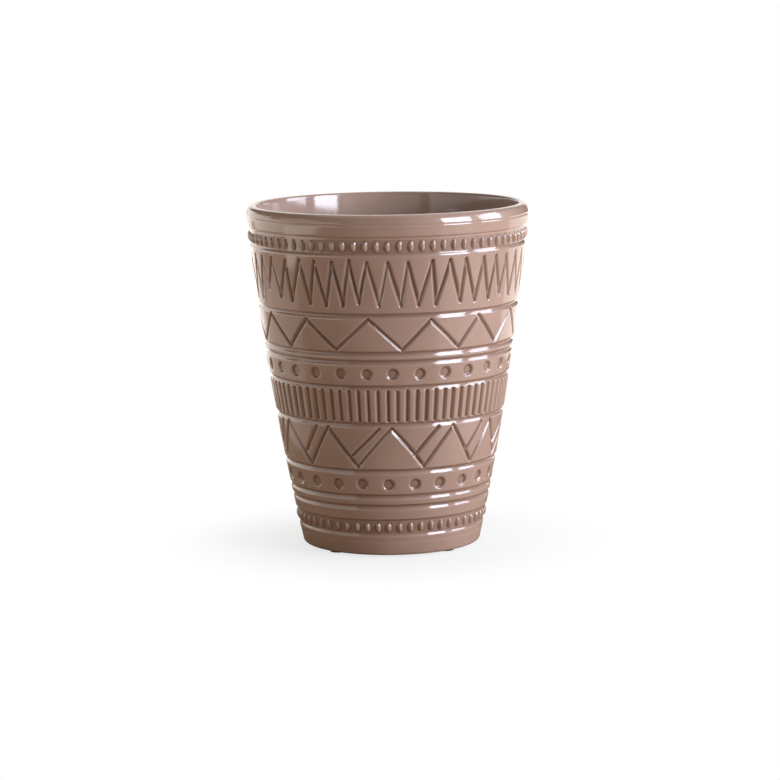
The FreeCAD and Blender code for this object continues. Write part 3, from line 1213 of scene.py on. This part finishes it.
def paper_light(context, name, edge, near, far, width, brightness):
    """A lit stretch of the table, which the glaze mirrors."""
    turn = math.radians(edge)
    along = Vector((math.sin(turn), -math.cos(turn), 0))
    aside = Vector((math.cos(turn), math.sin(turn), 0))
    sheet = panel_light(context, name, far - near, abs(width), brightness, ROOM_LIGHT)
    sheet.location = along * (near + far) / 2 + aside * width / 2 + Vector((0, 0, PAPER_LIFT))
    sheet.rotation_euler = (math.pi, 0, math.atan2(along.y, along.x))


def set_world(context):
    """A dim room for the pot and plain white for the camera."""
    recipe = Recipe(bpy.data.worlds.new("room"))
    dim = recipe.node("ShaderNodeBackground", inputs={
        "Color": (*ROOM_SHADE, 1.0), "Strength": ROOM_GLOW})
    white = recipe.node("ShaderNodeBackground", inputs={"Color": (1, 1, 1, 1)})
    blend = recipe.node("ShaderNodeMixShader", inputs={0: recipe.camera_sees(), 1: dim, 2: white})
    context.scene.world = recipe.finish(blend, "ShaderNodeOutputWorld")


def set_camera(context):
    """The photograph's viewpoint: a long lens, a little above the rim and turned a hair."""
    lens = bpy.data.cameras.new("camera")
    lens.sensor_width = SENSOR_WIDTH
    lens.lens = FOCAL_LENGTH / PICTURE_WIDTH * SENSOR_WIDTH
    lens.clip_start, lens.clip_end = 0.05, 20.0
    camera = bpy.data.objects.new("camera", lens)
    camera.location = VIEWPOINT
    tilt = Matrix.Rotation(math.pi / 2 - VIEW_TILT, 3, "X")
    camera.rotation_euler = (tilt @ Matrix.Rotation(-VIEW_ROLL, 3, "Z")).to_euler()
    context.scene.collection.objects.link(camera)
    context.scene.camera = camera


class FLOWERPOT_PT_panel(bpy.types.Panel):
    """Sizes, colours and steps of the flower pot"""

    bl_idname = "FLOWERPOT_PT_panel"
    bl_label = "Flower Pot"
    bl_space_type = "VIEW_3D"
    bl_region_type = "UI"
    bl_category = "Flower Pot"

    def draw(self, context):
        layout = self.layout
        for group in (context.scene.flower_pot_sizes, context.scene.flower_pot_finish):
            column = layout.column(align=True)
            for name in group.__annotations__:
                column.prop(group, name)
        column = layout.column(align=True)
        for step in STEPS:
            column.operator(step.bl_idname)


STEPS = (
    FLOWERPOT_OT_foot, FLOWERPOT_OT_lower_beads, FLOWERPOT_OT_lower_dots,
    FLOWERPOT_OT_double_triangles, FLOWERPOT_OT_reeds, FLOWERPOT_OT_upper_dots,
    FLOWERPOT_OT_triangles, FLOWERPOT_OT_zigzag, FLOWERPOT_OT_upper_beads,
    FLOWERPOT_OT_collar, FLOWERPOT_OT_felt_pads, FLOWERPOT_OT_stage,
)
CLASSES = (FlowerPotSizes, FlowerPotFinish, *STEPS, FLOWERPOT_PT_panel)


def register():
    for item in CLASSES:
        bpy.utils.register_class(item)
    bpy.types.Scene.flower_pot_sizes = PointerProperty(type=FlowerPotSizes)
    bpy.types.Scene.flower_pot_finish = PointerProperty(type=FlowerPotFinish)


def unregister():
    del bpy.types.Scene.flower_pot_finish
    del bpy.types.Scene.flower_pot_sizes
    for item in reversed(CLASSES):
        bpy.utils.unregister_class(item)


def main():
    register()
    steps = bpy.ops.flower_pot
    steps.foot()
    steps.lower_beads()
    steps.lower_dots()
    steps.double_triangles()
    steps.reeds()
    steps.upper_dots()
    steps.triangles()
    steps.zigzag()
    steps.upper_beads()
    steps.collar()
    steps.felt_pads()
    steps.stage()


if __name__ == "__main__":
    main()
